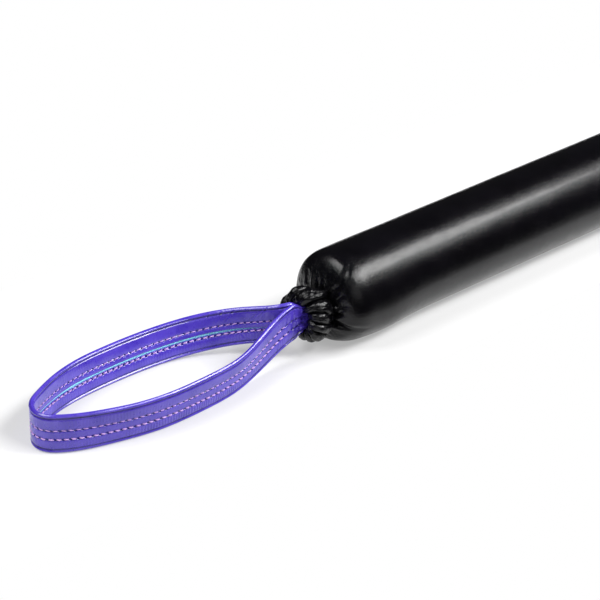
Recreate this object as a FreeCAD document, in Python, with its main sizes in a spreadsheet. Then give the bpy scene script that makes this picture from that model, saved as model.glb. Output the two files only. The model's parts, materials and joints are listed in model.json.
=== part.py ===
"""Padded striking stick with a wrist loop: a foam-wrapped plastic tube in a sewn two-colour cover.

The stick's axis lies along X. The origin is the middle of the straight grip, on the axis. The handle
end, with its gathered mouth and wrist loop, points to -X, and the striking end to +X. The stick lies
on the plane z = -cover_radius, with the loop standing on edge on the same plane. Millimetres.
"""

import FreeCAD, Part
import math
import os

import Sketcher
from FreeCAD import Placement, Rotation, Vector

SIZES = {
    # the cover: a straight tube of two colours, joined by a seam
    "cover_radius": 30.0,
    "cover_wall": 1.1,
    "grip_half": 140.0,
    "strike_span": 305.0,
    "seam_roll": 1.0,
    "allowance_depth": 4.1,
    "allowance_half_width": 6.0,
    "seam_turn": -130.0,
    # the handle end: a round shoulder, a neck, and a drawn hem that ends in the mouth
    "shoulder_start": 8.0,
    "shoulder_run": 19.0,
    "shoulder_drop": 15.0,
    "hem_run": 20.0,
    "hem_round": 15.8,
    "mouth_radius": 17.0,
    "hem_gap": 4.0,
    "hem_lap": 0.05,
    "neck_land": 1.0,
    "channel_start": 2.2,
    # the striking end: a rounded corner, a seam and a domed disc
    "corner_run": 8.0,
    "corner_drop": 2.4,
    "tip_edge_run": 2.8,
    "tip_edge_drop": 3.8,
    "tip_edge_round": 7.0,
    "tip_rise": 4.2,
    "tip_flat": 3.0,
    "tip_allowance": 3.2,
    "tip_lap": 0.2,
    "tip_edge_gap": 0.4,
    # the core tube and its end caps
    "core_radius": 12.5,
    "core_wall": 2.5,
    "core_overhang": 2.0,
    "core_setback": 5.0,
    "cap_flange": 2.5,
    "cap_spigot": 15.0,
    "cap_clearance": 0.1,
    # the foam
    "inner_foam_radius": 21.0,
    "foam_clearance": 0.2,
    "wrap_clearance": 0.4,
    "end_clearance": 0.3,
    "groove_clearance": 0.5,
    "wrap_overhang": 1.0,
    "disc_gap": 0.5,
    "disc_setback": 4.0,
    "pad_shelf": 1.4,
    "pad_rim_gap": 0.9,
    "pad_step": 1.0,
    # the drawn cord and the threads
    "cord_radius": 1.2,
    "cord_gap": 0.5,
    "cord_setback": 9.0,
    "knot_setback": 8.2,
    "knot_growth": 1.2,
    "thread_radius": 0.35,
    "stitch_pitch": 4.0,
    "seam_through": 2.2,
    "join_through": 2.4,
    "grip_seam_start": 8.0,
    "strike_seam_start": 6.0,
    "allowance_lap": 0.1,
    "allowance_end_gap": 5.0,
    "join_stitches": 36,
    "tip_stitches": 48,
    "tip_stitch_length": 2.4,
    "tip_stitch_run": 1.8,
    "tip_stitch_drop": 1.67,
    # the wrist loop: a folded band round a flat webbing
    "band_width": 25.0,
    "band_thickness": 2.8,
    "band_ply": 0.85,
    "slit_top": -1.1,
    "slit_bottom": -2.4,
    "core_half_width": 11.3,
    "core_half_thickness": 0.45,
    "band_lean": 10.0,
    "row_above": 2.2,
    "row_below": -3.5,
    "band_stitch_pitch": 4.3,
    "band_stitch_length": 3.1,
    "stitch_proud": 0.15,
    "stitch_height": 0.49,
    "rim_bevel": 0.9,
    "lining_gap": 0.15,
    # the strap's ends in the mouth, and the two pivots that stand in for its bending
    "tail_half_width": 8.0,
    "tail_ply": 2.7,
    "tail_start": -186.8,
    "tail_length": 16.8,
    "tail_gap": 0.05,
    "tack_setback": 14.0,
    "tack_side": 1.4,
    "tack_span": 7.5,
    "tack_count": 4,
    "tack_drop": 2.0,
    "tack_foot": 0.2,
    "strap_drop": -5.0,
    "lift_pivot": -189.5,
    "lift_radius": 2.2,
    "swing_reach": 8.5,
    "swing_radius": 2.85,
}

# The band's lower edge in plan, with its height over the floor: out along one leg, round the far end
# and back along the other.
BAND_ROUTE = (
    (-201.4, -2.0, 10.8), (-215.0, -2.5, 6.0), (-232.0, -5.5, 2.0), (-255.0, -10.0, 0.0),
    (-282.0, -12.5, 0.0), (-312.0, -12.0, 0.0), (-342.0, -5.5, 0.0), (-362.0, 1.4, 0.0),
    (-371.5, 7.0, 0.0), (-377.3, 13.2, 0.0), (-378.6, 19.8, 0.0), (-376.0, 27.2, 0.0),
    (-370.6, 33.4, 0.0), (-362.0, 38.6, 0.0), (-345.0, 45.2, 0.0), (-305.0, 50.6, 0.0),
    (-265.0, 50.0, 0.0), (-243.0, 45.5, 1.0), (-224.0, 36.0, 3.5), (-212.0, 24.5, 6.5),
    (-203.2, 10.5, 10.0), (-200.0, 5.0, 11.3),
)
BAND_STATIONS = 56
LEAN_REACH = 60.0
UPRIGHT_END = 15.0

doc = FreeCAD.newDocument("striking_stick")
sheet = doc.addObject("Spreadsheet::Sheet", "dims")
reader = doc.addObject("App::FeaturePython", "reader")
subparts = []

for row, (alias, number) in enumerate(SIZES.items(), start=1):
    sheet.set(f"A{row}", str(number))
    sheet.setAlias(f"A{row}", alias)
doc.recompute()

# Expressions that several profiles share.
FLOOR_TO_AXIS = "dims.cover_radius"
INNER = "(dims.cover_radius - dims.cover_wall)"
SHOULDER_X = "(-dims.grip_half - dims.shoulder_start)"
NECK_X = f"({SHOULDER_X} - dims.shoulder_run)"
NECK_R = "(dims.cover_radius - dims.shoulder_drop)"
MOUTH_X = f"({NECK_X} - dims.hem_run)"
SHOULDER_ROUND = "((dims.shoulder_run^2 + dims.shoulder_drop^2) / (2 * dims.shoulder_drop))"
SHOULDER_CENTRE_R = f"(dims.cover_radius - {SHOULDER_ROUND})"
CORNER_X = "(dims.grip_half + dims.strike_span)"
CORNER_ROUND = "((dims.corner_run^2 + dims.corner_drop^2) / (2 * dims.corner_drop))"
CORNER_CENTRE_R = f"(dims.cover_radius - {CORNER_ROUND})"
TIP_SEAM_X = f"({CORNER_X} + dims.corner_run)"
TIP_SEAM_R = "(dims.cover_radius - dims.corner_drop)"
DOME_X = f"({TIP_SEAM_X} + dims.tip_edge_run)"
DOME_R = f"({TIP_SEAM_R} - dims.tip_edge_drop)"
DOME_SPAN = f"({DOME_R} - dims.tip_flat)"
DOME_ROUND = f"(({DOME_SPAN}^2 + dims.tip_rise^2) / (2 * dims.tip_rise))"
CORE_START = "(-dims.grip_half - dims.core_overhang)"
CORE_END = f"({CORNER_X} - dims.core_setback)"


def size(expression):
    """The number that an expression of the sheet's cells stands for."""
    return reader.evalExpression(expression)


def arc_radius_at(centre, radius, run):
    """An expression for an arc's height over the axis, a given run from its centre along X."""
    return f"({centre} + sqrt(({radius})^2 - ({run})^2))"


def new_body(label, turned=False):
    """An empty body; a turned one has its own +Z at the cover's lengthwise seam."""
    body = doc.addObject("PartDesign::Body", label)
    body.Label = label
    body.AllowCompound = True
    if turned:
        body.Placement = Placement(Vector(), Rotation(Vector(1, 0, 0), size("dims.seam_turn")))
    subparts.append(body)
    return body


def origin_feature(body, role):
    return next(item for item in body.Origin.OriginFeatures if item.Role == role)


def new_sketch(body, plane, offset=None):
    """A sketch on one of the body's own planes, moved along its normal by an expression."""
    sketch = body.newObject("Sketcher::SketchObject", f"{body.Label}_sketch")
    sketch.AttachmentSupport = [(origin_feature(body, plane), "")]
    sketch.MapMode = "FlatFace"
    if offset:
        sketch.setExpression("AttachmentOffset.Base.z", offset)
    return sketch


def bind(sketch, constraint, expression):
    index = sketch.addConstraint(constraint)
    sketch.setExpression(f"Constraints[{index}]", expression)


def pin_point(sketch, geometry, end, corner):
    """Holds one end of a line or an arc at a corner given by two expressions."""
    for kind, axis, expression in (("DistanceX", -2, corner[0]), ("DistanceY", -1, corner[1])):
        number = size(expression)
        if abs(number) < 1e-9:
            sketch.addConstraint(Sketcher.Constraint("PointOnObject", geometry, end, axis))
        else:
            bind(sketch, Sketcher.Constraint(kind, -1, 1, geometry, end, number), expression)


def arc_between(start, finish, radius, bulge):
    """An arc of a radius between two points, bulging to the left (1) or the right (-1) of the way."""
    chord = finish - start
    sagitta = radius - math.sqrt(radius**2 - (chord.Length / 2) ** 2)
    left = Vector(-chord.y, chord.x, 0).normalize()
    return Part.Arc(start, (start + finish) / 2 + left * sagitta * bulge, finish)


def draw_outline(sketch, corners, bends=None):
    """A closed outline through corners given as expressions; bends maps an edge to its arc."""
    bends = bends or {}
    points = [Vector(size(u), size(v), 0) for u, v in corners]
    edges = []
    for index, start in enumerate(points):
        finish = points[(index + 1) % len(points)]
        if index in bends:
            radius, bulge = bends[index]
            geometry = sketch.addGeometry(arc_between(start, finish, size(radius), bulge))
        else:
            geometry = sketch.addGeometry(Part.LineSegment(start, finish))
        first = 1 if (sketch.getPoint(geometry, 1) - start).Length < 1e-6 else 2
        edges.append((geometry, first, 3 - first))
    for index, (geometry, first, _) in enumerate(edges):
        before, _, before_last = edges[index - 1]
        sketch.addConstraint(Sketcher.Constraint("Coincident", before, before_last, geometry, first))
        pin_point(sketch, geometry, first, corners[index])
    for index, (radius, _) in bends.items():
        bind(sketch, Sketcher.Constraint("Radius", edges[index][0], size(radius)), radius)


def draw_circle(sketch, radius, centre=("0", "0")):
    """A circle whose radius and centre are expressions."""
    middle = Vector(size(centre[0]), size(centre[1]), 0)
    index = sketch.addGeometry(Part.Circle(middle, Vector(0, 0, 1), size(radius)))
    pin_point(sketch, index, 3, centre)
    bind(sketch, Sketcher.Constraint("Radius", index, size(radius)), radius)


def pad(body, sketch, length, midplane=False):
    feature = body.newObject("PartDesign::Pad", f"{body.Label}_pad")
    feature.Profile = sketch
    feature.Midplane = midplane
    feature.setExpression("Length", length)
    return feature


def revolve(body, corners, bends=None):
    """Turns an outline in the XY plane about the stick's axis."""
    sketch = new_sketch(body, "XY_Plane")
    draw_outline(sketch, corners, bends)
    feature = body.newObject("PartDesign::Revolution", f"{body.Label}_turned")
    feature.Profile = sketch
    feature.ReferenceAxis = (sketch, ["H_Axis"])
    feature.Angle = 360
    return feature


def ring(label, outer, inner, start, length, turned=False):
    """A straight tube about the stick's axis."""
    body = new_body(label, turned)
    sketch = new_sketch(body, "YZ_Plane", start)
    draw_circle(sketch, outer)
    draw_circle(sketch, inner)
    pad(body, sketch, length)
    return body


def polar_row(body, feature, count):
    pattern = body.newObject("PartDesign::PolarPattern", f"{body.Label}_round")
    pattern.Originals = [feature]
    pattern.Axis = (origin_feature(body, "X_Axis"), [""])
    pattern.Angle = 360
    pattern.setExpression("Occurrences", count)
    body.Tip = pattern


def straight_row(body, feature, length, count):
    pattern = body.newObject("PartDesign::LinearPattern", f"{body.Label}_along")
    pattern.Originals = [feature]
    pattern.Direction = (origin_feature(body, "X_Axis"), [""])
    pattern.setExpression("Length", length)
    pattern.setExpression("Occurrences", count)
    body.Tip = pattern


# --- the core tube, its caps and the foam ----------------------------------------------------------


def make_core():
    ring("core_tube", "dims.core_radius", "dims.core_radius - dims.core_wall",
         CORE_START, f"{CORE_END} - {CORE_START}")


def make_end_cap(label, end, outward):
    """A plug whose flange covers the tube's end; outward is 1 towards +X and -1 towards -X."""
    face = f"({end} + {outward} * dims.cap_flange)"
    spigot_end = f"({end} - {outward} * dims.cap_spigot)"
    spigot = "(dims.core_radius - dims.core_wall - dims.cap_clearance)"
    body = new_body(label)
    revolve(body, [(spigot_end, "0"), (spigot_end, spigot), (end, spigot),
                   (end, "dims.core_radius"), (face, "dims.core_radius"), (face, "0")])


def make_inner_foam():
    ring("inner_foam_tube", "dims.inner_foam_radius", "dims.core_radius + dims.foam_clearance",
         CORE_START, f"{CORE_END} - {CORE_START}")


def make_foam_wrap(label, start, end):
    """A thick foam tube with a shallow groove where the cover's lengthwise allowance lies."""
    outer = f"({INNER} - dims.wrap_clearance)"
    body = ring(label, outer, "dims.inner_foam_radius + dims.foam_clearance",
                start, f"{end} - {start}", turned=True)
    groove = new_sketch(body, "YZ_Plane", start)
    half = "(dims.allowance_half_width + dims.groove_clearance)"
    floor = f"({INNER} - dims.cover_wall - dims.wrap_clearance)"
    top = "dims.cover_radius"
    draw_outline(groove, [(f"-{half}", floor), (half, floor), (half, top), (f"-{half}", top)])
    pocket = body.newObject("PartDesign::Pocket", f"{label}_groove")
    pocket.Profile = groove
    pocket.Reversed = True
    pocket.setExpression("Length", f"{end} - {start}")


def make_handle_foam():
    """The domed pad that fills the shoulder behind the handle cap."""
    centre, radius = SHOULDER_CENTRE_R, f"{SHOULDER_ROUND} - dims.cover_wall - dims.wrap_clearance"
    near_x = f"({CORE_START} - dims.cap_flange - dims.disc_gap)"
    far_run = "(dims.shoulder_run - dims.disc_setback)"
    far_x = f"({SHOULDER_X} - {far_run})"
    rim = f"({centre} + {radius})"
    body = new_body("handle_foam_disc")
    revolve(body, [(near_x, "0"), (near_x, rim), (SHOULDER_X, rim),
                   (far_x, arc_radius_at(centre, radius, far_run)), (far_x, "0")],
            {2: (radius, -1)})


def make_tip_foam():
    """The pad behind the tip disc, waisted where the two covers' allowances turn in."""
    back = f"({CORE_END} + dims.cap_flange + dims.disc_gap)"
    shelf = f"({CORNER_X} + dims.pad_shelf)"
    waist = f"({TIP_SEAM_X} - dims.cover_wall - dims.end_clearance)"
    rim = f"({TIP_SEAM_R} - dims.cover_wall - dims.end_clearance)"
    throat = f"({TIP_SEAM_R} - dims.tip_allowance - dims.end_clearance)"
    front = f"({TIP_SEAM_X} + dims.pad_step)"
    dome_foot = f"({DOME_X} - dims.cover_wall - dims.wrap_clearance)"
    dome_rim = f"({DOME_R} - dims.pad_rim_gap)"
    dome_top = f"({DOME_X} + dims.tip_rise - dims.cover_wall - dims.end_clearance)"
    hub = "(dims.inner_foam_radius - dims.foam_clearance)"
    body = new_body("tip_foam_pad")
    revolve(body, [(back, "0"), (back, hub), (shelf, hub), (shelf, rim), (waist, rim),
                   (waist, throat), (front, throat), (dome_foot, dome_rim),
                   (dome_top, "dims.tip_flat"), (dome_top, "0")],
            {7: (f"{DOME_ROUND} - dims.cover_wall", 1)})


# --- the cover ---------------------------------------------------------------------------------


def add_allowance(body, start, length):
    """The pressed-open allowance of the lengthwise seam, inside the cover's wall."""
    sketch = new_sketch(body, "YZ_Plane", start)
    half = "dims.allowance_half_width"
    low, high = f"({INNER} - dims.cover_wall - dims.allowance_lap)", f"({INNER} + dims.allowance_lap)"
    draw_outline(sketch, [(f"-{half}", low), (half, low), (half, high), (f"-{half}", high)])
    pad(body, sketch, length)


def make_grip_cover():
    """The dark half: straight grip, shoulder, neck and the drawn hem that holds the cord."""
    join = "dims.grip_half"
    hem_inner = f"({NECK_R} - dims.cover_wall)"
    channel_floor = f"({NECK_R} + dims.hem_lap)"
    inner_round = f"({SHOULDER_ROUND} - dims.cover_wall)"
    neck_run = f"sqrt({inner_round}^2 - ({hem_inner} - {SHOULDER_CENTRE_R})^2)"
    chord = f"sqrt(dims.hem_run^2 + (dims.mouth_radius - {NECK_R})^2)"
    rise = f"sqrt(dims.hem_round^2 - ({chord} / 2)^2)"
    slope_x, slope_r = f"(-dims.hem_run / {chord})", f"((dims.mouth_radius - {NECK_R}) / {chord})"
    centre_x = f"({NECK_X} - dims.hem_run / 2 - {slope_r} * {rise})"
    centre_r = f"(({NECK_R} + dims.mouth_radius) / 2 + {slope_x} * {rise})"
    channel_round = "(dims.hem_round - dims.cover_wall)"
    channel_top_x = f"({NECK_X} - dims.channel_start)"
    channel_top_r = arc_radius_at(centre_r, channel_round, f"{channel_top_x} - {centre_x}")
    channel_end_x = f"({MOUTH_X} + dims.cover_wall)"
    channel_end_r = arc_radius_at(centre_r, channel_round, f"{channel_end_x} - {centre_x}")
    body = new_body("grip_cover", turned=True)
    revolve(body, [
        (join, f"({INNER} + dims.cover_wall - dims.allowance_depth)"),
        (join, "(dims.cover_radius - dims.seam_roll)"),
        (f"({join} - dims.seam_roll)", "dims.cover_radius"),
        (SHOULDER_X, "dims.cover_radius"),
        (NECK_X, NECK_R),
        (MOUTH_X, "dims.mouth_radius"),
        (MOUTH_X, hem_inner),
        (f"({NECK_X} - dims.hem_gap)", hem_inner),
        (f"({NECK_X} - dims.hem_gap)", channel_floor),
        (channel_end_x, channel_floor),
        (channel_end_x, channel_end_r),
        (channel_top_x, channel_top_r),
        (f"({NECK_X} - dims.neck_land)", hem_inner),
        (f"({SHOULDER_X} - {neck_run})", hem_inner),
        (SHOULDER_X, INNER),
        (f"({join} - dims.cover_wall)", INNER),
        (f"({join} - dims.cover_wall)", f"({INNER} + dims.cover_wall - dims.allowance_depth)"),
    ], {
        1: ("dims.seam_roll", -1),
        3: (SHOULDER_ROUND, -1),
        4: ("dims.hem_round", -1),
        10: (channel_round, 1),
        13: (inner_round, 1),
    })
    add_allowance(body, f"-{join} + dims.allowance_end_gap",
                  f"2 * {join} - dims.allowance_end_gap - dims.cover_wall / 2")


def make_strike_cover():
    """The coloured half, from the join to the seam round the tip."""
    join = "dims.grip_half"
    rim = f"({INNER} + dims.cover_wall - dims.allowance_depth)"
    inner_round = f"({CORNER_ROUND} - dims.cover_wall)"
    inner_run = "(dims.corner_run - dims.cover_wall)"
    tip_rim = f"({TIP_SEAM_R} - dims.tip_allowance + dims.tip_lap)"
    body = new_body("strike_cover", turned=True)
    revolve(body, [
        (join, rim),
        (join, "(dims.cover_radius - dims.seam_roll)"),
        (f"({join} + dims.seam_roll)", "dims.cover_radius"),
        (CORNER_X, "dims.cover_radius"),
        (TIP_SEAM_X, TIP_SEAM_R),
        (TIP_SEAM_X, tip_rim),
        (f"({TIP_SEAM_X} - dims.cover_wall)", tip_rim),
        (f"({TIP_SEAM_X} - dims.cover_wall)", arc_radius_at(CORNER_CENTRE_R, inner_round, inner_run)),
        (CORNER_X, INNER),
        (f"({join} + dims.cover_wall)", INNER),
        (f"({join} + dims.cover_wall)", rim),
    ], {
        1: ("dims.seam_roll", 1),
        3: (CORNER_ROUND, 1),
        7: (inner_round, -1),
    })
    add_allowance(body, f"{join} + dims.cover_wall / 2", "dims.strike_span - dims.cover_wall")


def make_tip_disc():
    """The dark disc sewn into the striking end, with its hem turned in."""
    hem = f"({TIP_SEAM_R} - dims.tip_allowance)"
    body = new_body("tip_disc")
    top = f"({DOME_X} + dims.tip_rise)"
    under = f"({top} - dims.cover_wall)"
    revolve(body, [
        (under, "0"),
        (top, "0"),
        (top, "dims.tip_flat"),
        (DOME_X, DOME_R),
        (TIP_SEAM_X, TIP_SEAM_R),
        (TIP_SEAM_X, hem),
        (f"({TIP_SEAM_X} + dims.cover_wall)", hem),
        (f"({DOME_X} - dims.cover_wall)", f"({DOME_R} - dims.tip_edge_gap)"),
        (under, "dims.tip_flat"),
    ], {
        2: (DOME_ROUND, -1),
        3: ("dims.tip_edge_round", -1),
        7: (f"{DOME_ROUND} - dims.cover_wall", 1),
    })


# --- the drawn cord and the threads ------------------------------------------------------------


def make_gather_cord():
    """The cord in the hem's channel, with the knot that ties it."""
    loop = doc.addObject("Part::Torus", "gather_loop")
    ring_radius = f"{NECK_R} + dims.cord_radius + dims.cord_gap"
    loop.setExpression("Radius1", ring_radius)
    loop.setExpression("Radius2", "dims.cord_radius")
    loop.Placement.Rotation = Rotation(Vector(0, 1, 0), 90)
    loop.setExpression("Placement.Base.x", f"{NECK_X} - dims.cord_setback")
    knot = doc.addObject("Part::Sphere", "gather_knot")
    knot.setExpression("Radius", "dims.cord_radius * dims.knot_growth")
    knot.setExpression("Placement.Base.x", f"{NECK_X} - dims.knot_setback")
    knot.setExpression("Placement.Base.y", ring_radius)
    cord = doc.addObject("Part::Fuse", "gather_cord")
    cord.Base, cord.Tool = loop, knot
    cord.Label = "gather_cord"
    subparts.append(cord)


def make_seam_thread(label, start, count):
    """The row of stitches that closes a cover's lengthwise seam."""
    body = new_body(label, turned=True)
    sketch = new_sketch(body, "XZ_Plane")
    draw_circle(sketch, "dims.thread_radius", (start, f"{INNER} - dims.cover_wall / 2"))
    stitch = pad(body, sketch, "dims.cover_wall * dims.seam_through", midplane=True)
    straight_row(body, stitch, f"({count} - 1) * dims.stitch_pitch", str(count))


def make_join_thread():
    """The stitches through both covers' allowances at the join."""
    body = new_body("cover_join_thread")
    sketch = new_sketch(body, "YZ_Plane", "dims.grip_half")
    draw_circle(sketch, "dims.thread_radius", ("0", f"{INNER} - dims.cover_wall * 1.5"))
    stitch = pad(body, sketch, "dims.cover_wall * dims.join_through", midplane=True)
    polar_row(body, stitch, "dims.join_stitches")


def make_tip_thread():
    """The stitches that show round the edge of the tip disc."""
    body = new_body("tip_seam_thread")
    sketch = new_sketch(body, "XZ_Plane")
    draw_circle(sketch, "dims.thread_radius",
                (f"{TIP_SEAM_X} + dims.tip_stitch_run", f"{TIP_SEAM_R} - dims.tip_stitch_drop"))
    stitch = pad(body, sketch, "dims.tip_stitch_length", midplane=True)
    polar_row(body, stitch, "dims.tip_stitches")


# --- the wrist loop ----------------------------------------------------------------------------


def band_frames(count):
    """Places along the band: its middle, the way to the loop's inside, up, and along."""
    floor = -size(FLOOR_TO_AXIS)
    route = Part.BSplineCurve()
    route.interpolate([Vector(x, y, floor + rise) for x, y, rise in BAND_ROUTE])
    length = route.length()
    frames = []
    for step in range(count):
        travelled = length * step / (count - 1)
        parameter = route.parameterAtDistance(travelled, route.FirstParameter)
        along = route.tangent(parameter)[0]
        inward = Vector(along.y, -along.x, 0).normalize()
        from_mouth = min(travelled, length - travelled)
        to_end = max(length / 2 - UPRIGHT_END - from_mouth, 0)
        share = min(from_mouth, to_end, LEAN_REACH) / LEAN_REACH
        lean = math.radians(size("dims.band_lean")) * share * share * (3 - 2 * share)
        upright = Vector(0, 0, math.cos(lean)) - inward * math.sin(lean)
        across = along.cross(upright).normalize()
        if across.dot(inward) < 0:
            across = -across
        middle = route.value(parameter) + upright * size("dims.band_width") / 2
        frames.append((middle, across, upright, along))
    return frames


def band_solid(section):
    """A closed section, as (across, up) corners, carried along the band."""
    frames = band_frames(BAND_STATIONS)
    knots = [step / (BAND_STATIONS - 1) for step in range(BAND_STATIONS)]
    rails = []
    for across, up in section:
        rail = Part.BSplineCurve()
        rail.interpolate(Points=[middle + inward * across + upright * up
                                 for middle, inward, upright, _ in frames], Parameters=knots)
        rails.append(rail.toShape())
    faces = [Part.makeRuledSurface(rail, rails[(index + 1) % len(rails)])
             for index, rail in enumerate(rails)]
    for end in (0, -1):
        middle, inward, upright, _ = frames[end]
        ring_points = [middle + inward * across + upright * up for across, up in section]
        faces.append(Part.Face(Part.makePolygon(ring_points + ring_points[:1])))
    shell = Part.makeShell(faces)
    shell.sewShape()
    solid = Part.makeSolid(shell)
    if solid.Volume < 0:
        solid.reverse()
    return solid


def shaped(label, shape):
    """A sub-part whose shape this script works out from the sheet."""
    feature = doc.addObject("Part::Feature", label)
    feature.Label = label
    feature.Shape = shape
    feature.Placement = Placement()
    subparts.append(feature)


def make_strap_loop():
    """Folded leather: an outer wall, two rolled rims and two flaps that leave a slit inside."""
    wide, thick = size("dims.band_width") / 2, size("dims.band_thickness") / 2
    ply = size("dims.band_ply")
    bevel = ply * size("dims.rim_bevel")
    inner, lining = thick - ply, wide - ply - size("dims.lining_gap")
    slit_top, slit_bottom = size("dims.slit_top"), size("dims.slit_bottom")
    outline = [(-thick, bevel - wide), (-thick, wide - bevel), (bevel - thick, wide),
               (thick - bevel, wide), (thick, wide - bevel), (thick, slit_top)]
    lining_side = [(inner, slit_top), (inner, lining), (-inner, lining), (-inner, -lining),
                   (inner, -lining), (inner, slit_bottom)]
    lower = [(thick, slit_bottom), (thick, bevel - wide), (thick - bevel, -wide), (bevel - thick, -wide)]
    shaped("strap_loop", band_solid(outline + lining_side + lower))


def make_strap_core():
    wide, thick = size("dims.core_half_width"), size("dims.core_half_thickness")
    shaped("strap_core", band_solid([(-thick, -wide), (-thick, wide), (thick, wide), (thick, -wide)]))


def make_strap_thread(label, height):
    """One row of stitches right through the band, each a short bar that shows on both faces."""
    pitch, long = size("dims.band_stitch_pitch"), size("dims.band_stitch_length")
    through = size("dims.band_thickness + 2 * dims.stitch_proud")
    tall = size("dims.stitch_height")
    count = int(Part.makePolygon([Vector(*point) for point in BAND_ROUTE]).Length / pitch)
    stitches = []
    for middle, inward, upright, along in band_frames(count)[1:-1]:
        bar = Part.makeBox(long, through, tall, Vector(-long / 2, -through / 2, -tall / 2))
        bar.Placement = Placement(middle + upright * height, Rotation(along, inward, upright, "XYZ"))
        stitches.append(bar)
    shaped(label, Part.makeCompound(stitches))


def make_strap_tails():
    """The strap's two ends, narrowed and laid together inside the drawn hem."""
    tails = []
    for name, side in (("near_tail", "-dims.tail_ply - dims.tail_gap"), ("far_tail", "dims.tail_gap")):
        tail = doc.addObject("Part::Box", name)
        tail.setExpression("Length", "dims.tail_length")
        tail.setExpression("Width", "dims.tail_ply")
        tail.setExpression("Height", "2 * dims.tail_half_width")
        tail.setExpression("Placement.Base.x", "dims.tail_start")
        tail.setExpression("Placement.Base.y", side)
        tail.setExpression("Placement.Base.z", "dims.strap_drop - dims.tail_half_width")
        tails.append(tail)
    pair = doc.addObject("Part::Compound", "strap_tails")
    pair.Links = tails
    pair.Label = "strap_tails"
    subparts.append(pair)


def make_tail_bar_tack():
    """Upright stitches that hold the strap's ends to the hem."""
    body = new_body("tail_bar_tack")
    low = f"(-{NECK_R} - dims.tack_foot)"
    sketch = new_sketch(body, "XY_Plane", low)
    for side in ("dims.tack_side", "-dims.tack_side"):
        draw_circle(sketch, "dims.thread_radius", (f"{NECK_X} - dims.tack_setback", side))
    stitches = pad(body, sketch, f"dims.strap_drop - dims.tack_drop - {low}")
    straight_row(body, stitches, "dims.tack_span", "dims.tack_count")


def make_strap_neck():
    """The folded strap just outside the mouth, round where it lifts and round where it swings."""
    body = new_body("strap_neck")
    body.Placement = Placement(Vector(size("dims.lift_pivot"), 0, size("dims.strap_drop")), Rotation())
    reach, half = "dims.swing_reach", "(dims.band_width / 2)"
    thickness = "2 * dims.swing_radius"
    fan = new_sketch(body, "XZ_Plane")
    draw_outline(fan, [("0", "dims.lift_radius"), (f"-{reach}", half), (f"-{reach}", f"-{half}"),
                       ("0", "-dims.lift_radius")])
    pad(body, fan, thickness, midplane=True)
    lift_end = new_sketch(body, "XZ_Plane")
    draw_circle(lift_end, "dims.lift_radius")
    pad(body, lift_end, thickness, midplane=True)
    swing_end = new_sketch(body, "XY_Plane")
    draw_circle(swing_end, "dims.swing_radius", (f"-{reach}", "0"))
    pad(body, swing_end, "dims.band_width", midplane=True)


def check_and_write():
    """Stops on any failed object or shape, then writes one file for each sub-part."""
    doc.recompute()
    for item in doc.Objects:
        if {"Invalid", "Error"} & set(item.State):
            raise SystemExit(f"{item.Label} failed: {item.State}")
    os.makedirs("parts", exist_ok=True)
    for item in subparts:
        shape = item.Shape
        if shape.isNull() or not shape.isValid() or not shape.Solids:
            raise SystemExit(f"{item.Label} has no valid solid")
        shape.exportStep(f"parts/{item.Label}.step")
        print(f"{item.Label}: {len(shape.Solids)} solids, {sum(s.Volume for s in shape.Solids):.1f} mm3")


make_core()
make_end_cap("handle_end_cap", CORE_START, "-1")
make_end_cap("tip_end_cap", CORE_END, "1")
make_inner_foam()
make_foam_wrap("grip_foam_wrap", CORE_START, "(dims.grip_half - dims.cover_wall - dims.end_clearance)")
make_foam_wrap("strike_foam_wrap", "(dims.grip_half + dims.cover_wall + dims.end_clearance)",
               f"({CORNER_X} + dims.wrap_overhang)")
make_handle_foam()
make_tip_foam()
make_grip_cover()
make_strike_cover()
make_tip_disc()
make_gather_cord()
make_seam_thread("grip_seam_thread", "(-dims.grip_half + dims.grip_seam_start)", 66)
make_seam_thread("strike_seam_thread", "(dims.grip_half + dims.strike_seam_start)", 74)
make_join_thread()
make_tip_thread()
make_strap_tails()
make_tail_bar_tack()
make_strap_neck()
make_strap_loop()
make_strap_core()
make_strap_thread("strap_thread_upper", size("dims.row_above"))
make_strap_thread("strap_thread_lower", size("dims.row_below"))
check_and_write()
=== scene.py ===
import json
import math

import bpy
import numpy as np
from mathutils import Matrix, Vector


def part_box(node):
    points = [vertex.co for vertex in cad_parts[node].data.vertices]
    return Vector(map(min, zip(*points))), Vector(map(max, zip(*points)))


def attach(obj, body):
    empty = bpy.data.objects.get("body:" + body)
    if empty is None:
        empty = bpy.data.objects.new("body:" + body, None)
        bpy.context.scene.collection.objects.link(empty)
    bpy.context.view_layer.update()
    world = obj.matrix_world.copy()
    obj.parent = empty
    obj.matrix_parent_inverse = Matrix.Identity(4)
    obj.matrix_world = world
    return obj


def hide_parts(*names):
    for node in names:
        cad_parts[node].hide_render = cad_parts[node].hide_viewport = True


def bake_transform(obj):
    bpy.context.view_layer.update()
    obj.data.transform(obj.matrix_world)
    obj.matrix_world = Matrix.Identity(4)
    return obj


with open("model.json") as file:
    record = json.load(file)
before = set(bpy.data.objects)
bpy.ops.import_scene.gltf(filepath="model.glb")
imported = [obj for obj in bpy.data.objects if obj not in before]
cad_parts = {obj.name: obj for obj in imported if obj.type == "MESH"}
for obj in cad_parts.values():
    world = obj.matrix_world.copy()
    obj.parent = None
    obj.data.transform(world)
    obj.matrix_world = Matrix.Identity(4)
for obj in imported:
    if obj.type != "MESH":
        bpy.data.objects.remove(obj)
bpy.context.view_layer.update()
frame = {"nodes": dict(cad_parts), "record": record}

# Lengths in this script are millimetres, as in the CAD part; MM turns them into Blender's metres.
MM = 0.001
MOUNTS = {mount["name"]: mount for mount in frame["record"]["mounts"]}

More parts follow.
